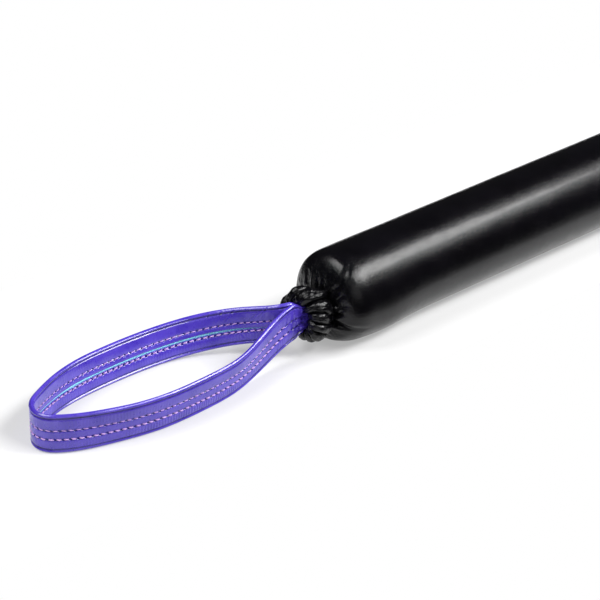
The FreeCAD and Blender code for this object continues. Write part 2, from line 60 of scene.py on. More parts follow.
RADIUS = MOUNTS["grip"]["dims"]["r_mm"]
JOIN_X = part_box("grip_cover")[1].x / MM
GRIP_HALF = JOIN_X  # the grip is centred on the frame's origin
TIP_SEAM_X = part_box("strike_cover")[1].x / MM
TIP_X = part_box("tip_disc")[1].x / MM
FLOOR_Z = -RADIUS
FLOOR_GAP = 0.02
SEAM_ANGLE = math.radians(-40)  # where the covers' lengthwise seams lie, round the axis from +Y
WALL = 1.1
TURN = 2 * math.pi

rng = np.random.default_rng(41)


# --- small numeric helpers -------------------------------------------------------------------------


AXIS_PRIMES = (374761393, 668265263, 2147483647)
MIXING_PRIME = 1274126177
WORD, HALF_WORD = 0xFFFFFFFF, 0xFFFF
OCTAVE_STEP = 2.03
OCTAVE_TOTAL = 1.75  # the strengths of three octaves, 1 + 1/2 + 1/4


def lattice(ix, iy, iz):
    """A repeatable value in [-1, 1] for each lattice point."""
    mixed = (ix * AXIS_PRIMES[0] + iy * AXIS_PRIMES[1] + iz * AXIS_PRIMES[2]) & WORD
    mixed = ((mixed ^ (mixed >> 13)) * MIXING_PRIME) & WORD
    mixed = (mixed ^ (mixed >> 16)) & HALF_WORD
    return mixed / (HALF_WORD / 2) - 1.0


def smooth_noise(x, y, z):
    """Value noise in three dimensions, for arrays of any one shape."""
    x, y, z = np.broadcast_arrays(np.asarray(x, float), y, z)
    cells = [np.floor(axis).astype(np.int64) for axis in (x, y, z)]
    shares = [axis - cell for axis, cell in zip((x, y, z), cells)]
    shares = [share * share * share * (share * (share * 6 - 15) + 10) for share in shares]
    total = np.zeros(x.shape)
    for dx in (0, 1):
        for dy in (0, 1):
            for dz in (0, 1):
                weight = 1.0
                for share, step in zip(shares, (dx, dy, dz)):
                    weight = weight * (share if step else 1 - share)
                total += weight * lattice(cells[0] + dx, cells[1] + dy, cells[2] + dz)
    return total


def layered_noise(x, y, z, octaves=3):
    """Smooth noise with finer and weaker layers over it."""
    total, strength = 0.0, 1.0
    for octave in range(octaves):
        scale = OCTAVE_STEP**octave
        total = total + strength * smooth_noise(x * scale + 7 * octave, y * scale, z * scale)
        strength *= 0.5
    return total / OCTAVE_TOTAL


def ramp(value, low, high):
    """0 below low, 1 above high, smooth between; low may be the larger."""
    share = np.clip((value - low) / (high - low), 0, 1)
    return share * share * (3 - 2 * share)


def spline(points, count=None, step=None):
    """Points along a natural cubic spline through points, evenly spaced along its length."""
    points = np.asarray(points, float)
    knots = np.concatenate([[0], np.cumsum(np.linalg.norm(np.diff(points, axis=0), axis=1))])
    gaps = np.diff(knots)
    size = len(points)
    system, right = np.eye(size), np.zeros_like(points)
    for i in range(1, size - 1):
        system[i, i - 1:i + 2] = gaps[i - 1], 2 * (gaps[i - 1] + gaps[i]), gaps[i]
        right[i] = 6 * ((points[i + 1] - points[i]) / gaps[i] - (points[i] - points[i - 1]) / gaps[i - 1])
    bend = np.linalg.solve(system, right)

    def at(where):
        i = np.clip(np.searchsorted(knots, where, side="right") - 1, 0, size - 2)
        gap = gaps[i][:, None]
        after = (where - knots[i])[:, None] / gap
        before = 1 - after
        return (before * points[i] + after * points[i + 1]
                + ((before**3 - before) * bend[i] + (after**3 - after) * bend[i + 1]) * gap**2 / 6)

    fine = at(np.linspace(0, knots[-1], 4000))
    travelled = np.concatenate([[0], np.cumsum(np.linalg.norm(np.diff(fine, axis=0), axis=1))])
    count = count or int(round(travelled[-1] / step)) + 1
    even = np.linspace(0, travelled[-1], count)
    return np.stack([np.interp(even, travelled, fine[:, axis]) for axis in range(points.shape[1])], 1)


def wrapped(angle):
    """The same angle between minus and plus half a turn."""
    return (angle + math.pi) % TURN - math.pi


def ring_angles(count):
    return np.linspace(0, TURN, count, endpoint=False)


def arc_lengths(points):
    """The distance travelled at each point, from the first."""
    return np.concatenate([[0], np.cumsum(np.linalg.norm(np.diff(points, axis=0), axis=1))])


# --- mesh helpers ----------------------------------------------------------------------------------


def mesh_object(name, vertices, faces, material, uvs=None):
    """A smooth-shaded object from vertices in millimetres; uvs holds one pair per face corner."""
    mesh = bpy.data.meshes.new(name)
    mesh.from_pydata((np.asarray(vertices) * MM).tolist(), [], [list(face) for face in faces])
    if uvs is not None:
        layer = mesh.uv_layers.new(name="UVMap")
        layer.data.foreach_set("uv", np.asarray(uvs, np.float32).ravel())
    mesh.shade_smooth()
    mesh.materials.append(material)
    obj = bpy.data.objects.new(name, mesh)
    bpy.context.scene.collection.objects.link(obj)
    return obj


def grid_object(name, points, material, wrap_rows=False, wrap_columns=True, caps=(), uv=None, depth=None):
    """A sheet of quads over points[row, column]. caps names the ends closed with one face, and depth says
    how far down in a groove each point is, for the material's painted shade."""
    rows, columns = points.shape[:2]
    row_steps = rows if wrap_rows else rows - 1
    column_steps = columns if wrap_columns else columns - 1
    i, j = np.meshgrid(np.arange(row_steps), np.arange(column_steps), indexing="ij")
    after_i, after_j = (i + 1) % rows, (j + 1) % columns
    quads = np.stack([i * columns + j, i * columns + after_j, after_i * columns + after_j,
                      after_i * columns + j], -1).reshape(-1, 4)
    faces = quads.tolist()
    if uv is None:
        uv = default_uv(points)
    u_rows, v_columns = uv
    corners = np.stack([np.stack([u_rows[i + di], v_columns[j + dj]], -1)
                        for di, dj in ((0, 0), (0, 1), (1, 1), (1, 0))], -2).reshape(-1, 2)
    corners = corners.tolist()
    ends = {"first": list(range(columns))[::-1], "last": list(range((rows - 1) * columns, rows * columns))}
    for cap in caps:
        faces.append(ends[cap])
        corners += [[0.0, 0.0]] * columns
    obj = mesh_object(name, points.reshape(-1, 3), faces, material, corners)
    if depth is not None:
        layer = obj.data.attributes.new("depth", "FLOAT", "POINT")
        layer.data.foreach_set("value", np.asarray(depth, np.float32).ravel())
    return obj


def default_uv(points):
    """Distances along the rows and the columns in metres, one longer than each for the wrap."""
    along = arc_lengths(points[:, 0])
    across = arc_lengths(points[len(points) // 2])
    return (np.append(along, along[-1] + 1) * MM, np.append(across, 2 * across[-1] - across[-2]) * MM)


def capsules(name, frames, length, radius, material, bow=0.0):
    """Short rounded bars, one for each (middle, along, out) frame, with their ends bowed inwards."""
    around, rings = 8, 9
    end_power, end_girth = 3.5, 0.02  # how blunt the ends are, and the square of how wide they stay
    place = np.linspace(-1, 1, rings)
    girth = radius * np.sqrt(np.clip(1 - np.abs(place) ** end_power, end_girth, 1))
    turn = ring_angles(around)
    vertices, faces = [], []
    for middle, along, out in frames:
        along = along / np.linalg.norm(along)
        out = out - along * np.dot(out, along)
        out = out / np.linalg.norm(out)
        side = np.cross(along, out)
        start = len(vertices)
        for share, ring_radius in zip(place, girth):
            centre = middle + along * share * length / 2 - out * bow * share**2
            for angle in turn:
                vertices.append(centre + (side * math.cos(angle) + out * math.sin(angle)) * ring_radius)
        for ring in range(rings - 1):
            for k in range(around):
                a, b = start + ring * around + k, start + ring * around + (k + 1) % around
                faces.append((a, b, b + around, a + around))
        faces.append(tuple(start + k for k in reversed(range(around))))
        faces.append(tuple(start + (rings - 1) * around + k for k in range(around)))
    return mesh_object(name, vertices, faces, material)


# --- materials -------------------------------------------------------------------------------------


class Shader:
    """A Principled material with short ways to add the nodes used here."""

    def __init__(self, name, roughness, specular=0.5, coat=0.0, coat_roughness=0.1, sheen=0.0):
        self.material = bpy.data.materials.new(name)
        self.material.use_nodes = True
        self.tree = self.material.node_tree
        self.bsdf = next(node for node in self.tree.nodes if node.type == "BSDF_PRINCIPLED")
        self.bsdf.inputs["Roughness"].default_value = roughness
        self.bsdf.inputs["Specular IOR Level"].default_value = specular
        self.bsdf.inputs["Coat Weight"].default_value = coat
        self.bsdf.inputs["Coat Roughness"].default_value = coat_roughness
        self.bsdf.inputs["Sheen Weight"].default_value = sheen
        self.place = self.node("ShaderNodeTexCoord")
        self.height = None

    def node(self, kind, **settings):
        """A new node, with its settings."""
        node = self.tree.nodes.new(kind)
        for key, value in settings.items():
            setattr(node, key, value)
        return node

    def link(self, source, target):
        self.tree.links.new(source, target)

    def mapped(self, stretch, space="Object"):
        """The material's own coordinates, stretched."""
        mapping = self.node("ShaderNodeMapping")
        mapping.inputs["Scale"].default_value = stretch
        self.link(self.place.outputs[space], mapping.inputs["Vector"])
        return mapping.outputs["Vector"]

    def noise(self, scale, detail=3.0, stretch=(1, 1, 1), space="Object", distortion=0.0):
        node = self.node("ShaderNodeTexNoise")
        node.inputs["Scale"].default_value = scale
        node.inputs["Detail"].default_value = detail
        node.inputs["Distortion"].default_value = distortion
        self.link(self.mapped(stretch, space), node.inputs["Vector"])
        return node.outputs["Fac"]

    def cells(self, scale, stretch=(1, 1, 1), space="Object"):
        node = self.node("ShaderNodeTexVoronoi", feature="DISTANCE_TO_EDGE")
        node.inputs["Scale"].default_value = scale
        self.link(self.mapped(stretch, space), node.inputs["Vector"])
        return node.outputs["Distance"]

    def spread(self, value, low, high, start=0.3, end=0.7):
        """Takes start..end of a value to low..high."""
        node = self.node("ShaderNodeMapRange")
        node.inputs["From Min"].default_value = start
        node.inputs["From Max"].default_value = end
        node.inputs["To Min"].default_value = low
        node.inputs["To Max"].default_value = high
        self.link(value, node.inputs["Value"])
        return node.outputs["Result"]

    def colour(self, value, dark, light, start=0.3, end=0.7):
        """Colours the surface between dark and light."""
        node = self.node("ShaderNodeValToRGB")
        node.color_ramp.elements[0].position = start
        node.color_ramp.elements[0].color = (*dark, 1)
        node.color_ramp.elements[1].position = end
        node.color_ramp.elements[1].color = (*light, 1)
        self.link(value, node.inputs["Fac"])
        self.link(node.outputs["Color"], self.bsdf.inputs["Base Color"])

    def roughness(self, value, low, high):
        self.link(self.spread(value, low, high), self.bsdf.inputs["Roughness"])

    def bump(self, value, depth, strength=1.0):
        """Adds a layer of relief, depth in millimetres."""
        node = self.node("ShaderNodeBump")
        node.inputs["Strength"].default_value = strength
        node.inputs["Distance"].default_value = depth * MM
        self.link(value, node.inputs["Height"])
        if self.height:
            self.link(self.height, node.inputs["Normal"])
        self.height = node.outputs["Normal"]
        self.link(self.height, self.bsdf.inputs["Normal"])


def leather(name, dark, light, roughness, specular, coat, grain=1.0):
    """Coated leather: a fine pebble, drag lines round the tube, and patches of gloss."""
    shader = Shader(name, roughness, specular, coat, coat_roughness=roughness * 0.55)
    patches = shader.noise(45, 4)
    shader.colour(patches, dark, light)
    shader.roughness(shader.noise(130, 5), roughness - 0.05, roughness + 0.06)
    shader.bump(shader.noise(28, 3), 0.4 * grain, 0.5)
    shader.bump(shader.noise(420, 4, stretch=(1.0, 0.3, 0.3)), 0.06 * grain)
    shader.bump(shader.noise(1100, 3), 0.22 * grain)
    shader.bump(shader.cells(1500), 0.02 * grain)
    return shader.material


def strap_leather():
    """The strap's leather: satin, with finer grain, fine drag lines across the band and painted shade darkening
    its grooves and stitch holes.
    """
    shader = Shader("violet_strap_leather", 0.3, 0.5, 0.55, 0.09)
    shader.colour(shader.noise(90, 5), (0.047, 0.024, 0.40), (0.088, 0.052, 0.52))
    # painted shade: the base colour darkens to near-black blue the deeper a point lies in a groove or stitch
    # hole
    groove = shader.node("ShaderNodeAttribute", attribute_name="depth")
    painted_groove_shade = shader.node("ShaderNodeMix", data_type="RGBA")
    painted_groove_shade.inputs["B"].default_value = (0.003, 0.0015, 0.05, 1)
    shader.link(groove.outputs["Fac"], painted_groove_shade.inputs["Factor"])
    shader.link(shader.bsdf.inputs["Base Color"].links[0].from_socket, painted_groove_shade.inputs["A"])
    shader.link(painted_groove_shade.outputs["Result"], shader.bsdf.inputs["Base Color"])
    shader.roughness(shader.noise(260, 4), 0.24, 0.36)
    shader.bump(shader.noise(1.0, 3, stretch=(900, 90, 1), space="UV"), 0.05)
    shader.bump(shader.cells(2100), 0.018)
    return shader.material


def thread(name, dark, light):
    """Twisted thread: slanting plies across each stitch, with painted shade in the grooves between the plies.
    """
    shader = Shader(name, 0.45, 0.4, sheen=0.2)
    wave = shader.node("ShaderNodeTexWave", bands_direction="DIAGONAL")
    wave.inputs["Scale"].default_value = 900
    wave.inputs["Distortion"].default_value = 1.5
    shader.link(shader.place.outputs["Object"], wave.inputs["Vector"])
    # painted shade: the colour darkens where the same waves sink into the grooves between plies
    shader.colour(wave.outputs["Fac"], dark, light, 0.1, 0.9)
    shader.bump(wave.outputs["Fac"], 0.05)
    return shader.material


def webbing(name, dark, light):
    """Woven tape: ribs across the band, broken by the warp, with painted shade in the valleys between ribs."""
    shader = Shader(name, 0.5, 0.35, sheen=0.3)
    rib = shader.node("ShaderNodeTexWave", bands_direction="X")
    rib.inputs["Scale"].default_value = 320
    rib.inputs["Distortion"].default_value = 0.6
    shader.link(shader.place.outputs["UV"], rib.inputs["Vector"])
    # painted shade: the colour darkens where the same ribs sink into their valleys
    shader.colour(rib.outputs["Fac"], dark, light, 0.1, 0.8)
    shader.bump(rib.outputs["Fac"], 0.12)
    return shader.material


def foam():
    shader = Shader("closed_cell_foam", 0.85, 0.2)
    cells = shader.cells(700)
    # painted shade: the colour darkens towards the cells' edges, where the same cells sink into grooves
    shader.colour(cells, (0.52, 0.53, 0.55), (0.70, 0.71, 0.72), 0.0, 0.4)
    shader.bump(cells, 0.15)
    return shader.material


def tube_plastic():
    shader = Shader("core_plastic", 0.42, 0.5)
    shader.colour(shader.noise(60, 4, stretch=(0.2, 1, 1)), (0.62, 0.62, 0.60), (0.72, 0.72, 0.70))
    shader.bump(shader.noise(900, 3, stretch=(0.05, 1, 1)), 0.02)
    return shader.material


def floor_paper():
    """Lit paper with a painted glow, so that shadows stay pale."""
    shader = Shader("pale_paper", 0.7, 0.15)
    shader.colour(shader.noise(6, 3), (0.45, 0.45, 0.45), (0.46, 0.46, 0.46))
    shader.bsdf.inputs["Emission Color"].default_value = (1, 1, 1, 1)
    # the painted glow grows past the loop's far end, to wash out the lamps' own shadows there
    axes = shader.node("ShaderNodeSeparateXYZ")
    shader.link(shader.place.outputs["Object"], axes.inputs["Vector"])
    painted_glow = shader.spread(axes.outputs["X"], 0.95, 0.37, start=-0.43, end=-0.38)
    shader.link(painted_glow, shader.bsdf.inputs["Emission Strength"])
    shader.bump(shader.noise(500, 2), 0.01)
    return shader.material


BLACK = leather("black_coated_leather", (0.0014, 0.0013, 0.0020), (0.0026, 0.0024, 0.0036),
                roughness=0.21, specular=0.26, coat=0.10)
VIOLET = leather("violet_coated_leather", (0.088, 0.046, 0.50), (0.135, 0.078, 0.64),
                 roughness=0.24, specular=0.5, coat=0.4, grain=0.6)
STRAP = strap_leather()
CORE_BLUE = webbing("blue_webbing", (0.12, 0.62, 0.85), (0.45, 0.92, 1.0))
VIOLET_THREAD = thread("violet_thread", (0.36, 0.16, 0.55), (0.82, 0.55, 0.92))
BLACK_THREAD = thread("black_thread", (0.012, 0.012, 0.016), (0.045, 0.045, 0.055))
FOAM = foam()
PLASTIC = tube_plastic()


# --- what the two covers share ------------------------------------------------------------------------

BESIDE_SEAM = (-2.2, -1.2, -0.7, -0.35, 0, 0.35, 0.7, 1.2, 2.2)
SEAM_SPACING = 0.6
JOIN_EDGE = ((0.15, 3.2), (0.1, 1.2), (0.35, 0.5), (1.0, 0.12), (2.2, 0.0))  # distance and drop from the join
JOIN_TURN_IN = 1.3
JOIN_FLAP = 3.2
JOIN_STITCHES = 36


def joined_edge(side):
    """A cover's turned-in edge at the join, from inside to outside; side is -1 for the grip, 1 beyond it."""
    return [(JOIN_X + side * away, RADIUS - drop) for away, drop in JOIN_EDGE]


def join_puckers(x, angles):
    """Ripples that the join's stitches pull into either cover."""
    return 0.14 * np.exp(-np.abs(JOIN_X - x) / 2.6)[:, None] * np.cos(JOIN_STITCHES * angles)[None, :]


def seam_angles(count):
    """Angles round the tube, closer together beside the lengthwise seam."""
    even = ring_angles(count)
    beside = SEAM_ANGLE % TURN + np.array(BESIDE_SEAM) / RADIUS
    apart = np.abs(even[:, None] - beside[None, :]).min(1) > SEAM_SPACING / RADIUS
    return np.sort(np.concatenate([even[apart], beside]))


def seam_groove(angles):
    """The valley of the lengthwise seam, in millimetres below the surface."""
    across = np.abs(wrapped(angles - SEAM_ANGLE)) * RADIUS
    return -0.75 * np.exp(-(across / 0.45) ** 1.3) + 0.12 * np.exp(-((across - 1.6) / 0.8) ** 2)


def profile_normals(profile):
    """Outward normals of a profile of (x, radius) points that runs towards -X along its outside."""
    slope = np.gradient(profile, axis=0)
    slope /= np.linalg.norm(slope, axis=1)[:, None] + 1e-12
    return np.stack([slope[:, 1], -slope[:, 0]], 1)


def turned_points(profile, angles, push, sink=None):
    """Turns a profile about the axis; push moves each point along the profile's normal. The normals of a
    profile that runs towards +X point inwards, so there push is negative outwards."""
    normals = profile_normals(profile)
    x = profile[:, 0][:, None] + normals[:, 0][:, None] * push
    radius = profile[:, 1][:, None] + normals[:, 1][:, None] * push
    y, z = radius * np.cos(angles), radius * np.sin(angles)
    if sink is not None:
        z = z + sink
    return np.stack([np.broadcast_to(x, y.shape), y, z], -1)


def above_floor(points):
    """Keeps points from dipping under the floor, in place."""
    points[..., 2] = np.maximum(points[..., 2], FLOOR_Z + FLOOR_GAP)


def cover_uv(travelled, angles):
    """Distances along and round a cover in metres, one longer than each for the wrap."""
    return (np.append(travelled, travelled[-1] + 3) * MM, np.append(angles, angles[0] + TURN) * RADIUS * MM)


# --- the dark cover: grip, shoulder, neck and drawn hem ----------------------------------------------

PLEATS = 27
LONG_PLEAT_EVERY = 5
LARGE_PUFFS, SMALL_PUFFS = 12, 24
PUFF_UNEVENNESS = 0.5
HEM_SINK = 5.6  # how far the drawn hem sags below the stick's axis
CORD_X, CORD_REACH = -178.5, 12.4
SLACK_ANGLE, TUCK_ANGLE = math.radians(215), math.radians(203)
MOUTH_HALF_WIDTH, MOUTH_HALF_HEIGHT, MOUTH_POWER = 4.2, 13.4, 2.6

# (x, radius) along the outside, from the straight grip to the neck and round the hem into the mouth
NECK = (-170.4, 12.2)
SHOULDER = ((-GRIP_HALF, RADIUS), (-149.5, RADIUS - 0.02), (-156.6, 29.6), (-161.6, 28.0), (-165.3, 25.0),
            (-168.0, 20.4), (-169.8, 15.2), NECK)
HEM = (NECK, (-171.2, 13.6), (-172.9, 15.7), (-175.8, 17.1), (-179.4, 17.6), (-183.0, 17.0),
       (-185.9, 15.0), (-187.6, 12.2), (-187.2, 9.4), (-184.4, 7.2), (-179.0, 6.2), (-172.6, 6.2))


def shoulder_creases(angles, above_neck, radius):
    """Pleats that run from the neck up over the shoulder, each with its own reach and depth."""
    total = np.zeros((len(above_neck), len(angles)))
    for k in range(PLEATS):
        centre = TURN * (k + rng.uniform(-0.4, 0.4)) / PLEATS
        reach = rng.uniform(6, 15) if k % LONG_PLEAT_EVERY else rng.uniform(16, 30)
        depth = rng.uniform(0.5, 1.8)
        width, bend = rng.uniform(0.8, 2.0), rng.uniform(-0.016, 0.016)
        strength = np.clip(1 - above_neck / reach, 0, 1)[:, None] ** 0.9
        across = np.abs(wrapped(angles[None, :] - centre - bend * above_neck[:, None])) * radius[:, None]
        total -= depth * strength * np.exp(-((across / width) ** 1.25))
        total += 0.4 * depth * strength * np.exp(-(((across - 2.2 * width) / width) ** 2))
    return total


def uneven_parts(count, spread):
    """Edges that cut 0..1 into parts of uneven width."""
    widths = rng.uniform(1 - spread, 1 + spread, count)
    return np.concatenate([[0], np.cumsum(widths / widths.sum())])


HEM_LARGE = uneven_parts(LARGE_PUFFS, PUFF_UNEVENNESS)
HEM_SMALL = uneven_parts(SMALL_PUFFS, PUFF_UNEVENNESS)


def puffs(turn, edges, share, sharpness):
    """Rounded puffs between creases at edges; 0 in a crease and about 1 on a puff, with a size for each."""
    turn = turn % 1.0
    index = np.clip(np.searchsorted(edges, turn, side="right") - 1, 0, len(edges) - 2)
    width = (edges[1:] - edges[:-1])[index]
    inside = (turn - edges[index]) / width
    puff = np.clip(1 - np.abs(2 * inside - 1) ** sharpness, 0, 1) ** 0.5
    strength = 0.78 + 0.55 * smooth_noise(index * 3.7, share * 2.4 + index, 0.5)
    return puff * strength, width * (len(edges) - 1)


def hem_folds(angles, share):
    """The drawn hem: large puffs, folded again into smaller ones, that twist towards the mouth."""
    c, s = np.cos(angles)[None, :], np.sin(angles)[None, :]
    along = np.broadcast_to(share[:, None], (len(share), len(angles)))
    turn = angles[None, :] / TURN
    slant = 0.13 + 0.10 * smooth_noise(c * 1.4 + 4, s * 1.4, 0.3)
    warp = 0.020 * smooth_noise(c * 2.4, s * 2.4, along * 3.0 + 3)
    large, width = puffs(turn + slant * (along - 0.3) + warp, HEM_LARGE, along, 2.4)
    warp = 0.011 * smooth_noise(c * 5.0, s * 5.0, along * 4.0 + 8)
    small, _ = puffs(turn + 1.6 * slant * (along - 0.3) + warp, HEM_SMALL, along, 2.0)
    return 4.6 * large * width**0.5 - 3.3 + 0.45 * small - 0.4


def make_gather_cord():
    """The drawn cord: three strands laid round the strap's ends, hidden in the hem."""
    turn, side = ring_angles(160)[:, None], ring_angles(24)[None, :]
    girth = 1.0 + 0.18 * np.abs(np.cos(1.5 * side + 15 * turn))
    reach = CORD_REACH + girth * np.cos(side)
    points = np.stack([CORD_X + girth * np.sin(side),
                       reach * np.cos(turn), reach * np.sin(turn) - HEM_SINK], -1)
    cord = grid_object("gather_cord_strands", points, BLACK_THREAD, wrap_rows=True)
    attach(cord, "stick")
    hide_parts("gather_cord")


def grip_profile():
    """The cover's outline, how many of its points are outside, the neck's row and the hem's length."""
    straight = np.stack([np.linspace(JOIN_X - 5.0, -GRIP_HALF + 3, 82), np.full(82, RADIUS)], 1)
    shoulder = spline(SHOULDER, step=0.45)
    hem = spline(HEM, step=0.36)[1:]
    inside = np.array([(-166.0, 8.0), (-160.0, 19.5), (-150.0, 26.6), (-GRIP_HALF, RADIUS - WALL * 2),
                       (0.0, RADIUS - WALL), (JOIN_X - JOIN_TURN_IN, RADIUS - WALL),
                       (JOIN_X - JOIN_TURN_IN, RADIUS - JOIN_FLAP)])
    outside = np.concatenate([joined_edge(-1), straight, shoulder, hem])
    neck_row = len(outside) - len(hem) - 1
    return np.concatenate([outside, inside]), len(outside), neck_row, arc_lengths(hem)[-1]


def tube_relief(x, angles):
    """Long soft waves of the stuffed tube, the slack bulge low on the near side, and the seams."""
    c, s = np.cos(angles)[None, :], np.sin(angles)[None, :]
    waves = 0.16 * layered_noise(x[:, None] / 34, c * 1.3, s * 1.3, 2)
    low_near = np.exp(-(wrapped(angles - SLACK_ANGLE) / 0.62) ** 2)
    bulge = 2.3 * np.exp(-(((x + 134) / 24) ** 2))[:, None] * low_near[None, :]
    seam = seam_groove(angles)[None, :] * ramp(x, -150, -128)[:, None]
    return waves + bulge + join_puckers(x, angles) + seam


def shoulder_relief(x, radius, angles, above_neck):
    """Pleats over the shoulder, one deep tuck among them, and small puckers beside the neck."""
    c, s = np.cos(angles)[None, :], np.sin(angles)[None, :]
    on_shoulder = np.where(above_neck >= 0, 1.0, np.exp(above_neck / 1.5))
    pleats = shoulder_creases(angles, np.abs(above_neck), radius)
    tuck = np.abs(wrapped(angles - TUCK_ANGLE - 0.006 * above_neck[:, None])) * radius[:, None]
    tuck_reach = np.clip(1 - np.abs(above_neck) / 24, 0, 1)[:, None]
    pleats = pleats - 2.6 * tuck_reach * np.exp(-((tuck / 2.4) ** 1.4))
    puckers = layered_noise(x[:, None] / 3.1, c * radius[:, None] / 2.0, s * radius[:, None] / 2.0, 3)
    near_neck = (ramp(above_neck, 19, 3) * (above_neck >= 0))[:, None]
    return pleats * on_shoulder[:, None], 0.34 * puckers * near_neck


def hem_relief(angles, share):
    """Lobes, cross folds and wrinkles of the drawn hem; share runs 0 to 1 from the neck into the mouth."""
    c, s = np.cos(angles)[None, :], np.sin(angles)[None, :]
    on_hem = ramp(share, 0.0, 0.09) * ramp(share, 0.86, 0.60)
    folds = layered_noise(share[:, None] * 9.0, c * 4.2, s * 4.2, 2)
    wrinkles = layered_noise(share[:, None] * 26.0, c * 17.0, s * 17.0, 2)
    return (hem_folds(angles, share) + 0.75 * folds + 0.16 * wrinkles) * on_hem[:, None]


def fit_to_strap(points, angles, share, sink):
    """Squeezes the round mouth into an upright slot that fits the strap."""
    c, s = np.cos(angles)[None, :], np.sin(angles)[None, :]
    throat = ramp(share, 0.52, 0.86)[:, None]
    slot = (np.abs(c / MOUTH_HALF_WIDTH) ** MOUTH_POWER
            + np.abs(s / MOUTH_HALF_HEIGHT) ** MOUTH_POWER) ** (-1 / MOUTH_POWER)
    now = np.hypot(points[..., 1], points[..., 2] - sink)
    wanted = np.where(share[:, None] > 0.5, now + (slot + 0.8 * (1 - throat) - now) * throat, now)
    scale = (wanted / np.maximum(now, 1e-6))[..., None]
    centre = np.stack([points[..., 0], np.zeros_like(sink), sink], -1)
    across, along = np.array([0, 1, 1]), np.array([1, 0, 0])
    return centre + (points - centre) * np.where(scale > 0, scale, 1) * across + (points - centre) * along


def make_grip_cover():
    profile, outer_count, neck_row, hem_length = grip_profile()
    angles = seam_angles(520)
    travelled = arc_lengths(profile)
    above_neck = travelled[neck_row] - travelled
    share = np.clip((travelled - travelled[neck_row]) / hem_length, 0, 1)
    x, radius = profile[:, 0], profile[:, 1]

    pleats, puckers = shoulder_relief(x, radius, angles, above_neck)
    push = tube_relief(x, angles) + pleats + puckers + hem_relief(angles, share)
    push[outer_count:] = 0

    # the tube lies straight, but the drawn hem sags below its axis
    sink = -HEM_SINK * ramp(x, -160, -176)[:, None] + np.zeros_like(push)
    round_points = turned_points(profile, angles, push, sink)
    points = fit_to_strap(round_points, angles, share, sink)
    points[outer_count:] = round_points[outer_count:]
    above_floor(points)

    make_gather_cord()
    cover = grid_object("grip_cover_leather", points, BLACK, wrap_rows=True, uv=cover_uv(travelled, angles))
    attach(cover, "stick")
    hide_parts("grip_cover")


make_grip_cover()


# --- the violet cover and the tip disc -------------------------------------------------------------


TIP_STITCHES = 48


def make_strike_cover():
    corner = spline([(TIP_SEAM_X - 9, RADIUS), (TIP_SEAM_X - 6, RADIUS - 0.28), (TIP_SEAM_X - 3, RADIUS - 1.05),
                     (TIP_SEAM_X - 1.0, RADIUS - 1.95), (TIP_SEAM_X - 0.1, RADIUS - 2.7),
                     (TIP_SEAM_X + 0.25, RADIUS - 3.6)], step=0.4)
    near_end = np.stack([np.linspace(TIP_SEAM_X - 40, TIP_SEAM_X - 10, 40), np.full(40, RADIUS)], 1)
    straight = np.stack([np.linspace(JOIN_X + 5.0, TIP_SEAM_X - 44, 66), np.full(66, RADIUS)], 1)
    inside = np.array([(TIP_SEAM_X - 1.2, RADIUS - 4.6), (TIP_SEAM_X - 6, RADIUS - 1.6),
                       (TIP_SEAM_X - 30, RADIUS - WALL), (JOIN_X + JOIN_TURN_IN, RADIUS - WALL),
                       (JOIN_X + JOIN_TURN_IN, RADIUS - JOIN_FLAP)])
    profile = np.concatenate([joined_edge(1), straight, near_end, corner, inside])
    outer_count = len(profile) - len(inside)
    angles = seam_angles(384)
    x = profile[:, 0]
    c, s = np.cos(angles)[None, :], np.sin(angles)[None, :]
    waves = 0.15 * layered_noise(x[:, None] / 38 + 9, c * 1.3, s * 1.3, 2)
    near_seam = np.exp(-np.abs(TIP_SEAM_X - x) / 3.0)[:, None]
    stitched = 0.13 * near_seam * np.cos(TIP_STITCHES * angles)[None, :]
    near_tip = np.exp(-np.abs(TIP_SEAM_X - 10 - x) / 13)[:, None]
    puckers = 0.30 * layered_noise(x[:, None] / 16, c * 7, s * 7, 3) * near_tip
    seam = seam_groove(angles)[None, :] * ramp(x, TIP_SEAM_X, TIP_SEAM_X - 6)[:, None]
    push = waves + stitched + puckers + join_puckers(x, angles) + seam
    push[outer_count:] = 0
    points = turned_points(profile, angles, -push)
    above_floor(points)
    rows, columns = cover_uv(arc_lengths(profile), angles)
    cover = grid_object("strike_cover_leather", points[::-1], VIOLET, wrap_rows=True,
                        uv=(rows[::-1].copy(), columns))
    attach(cover, "stick")
    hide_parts("strike_cover")


make_strike_cover()


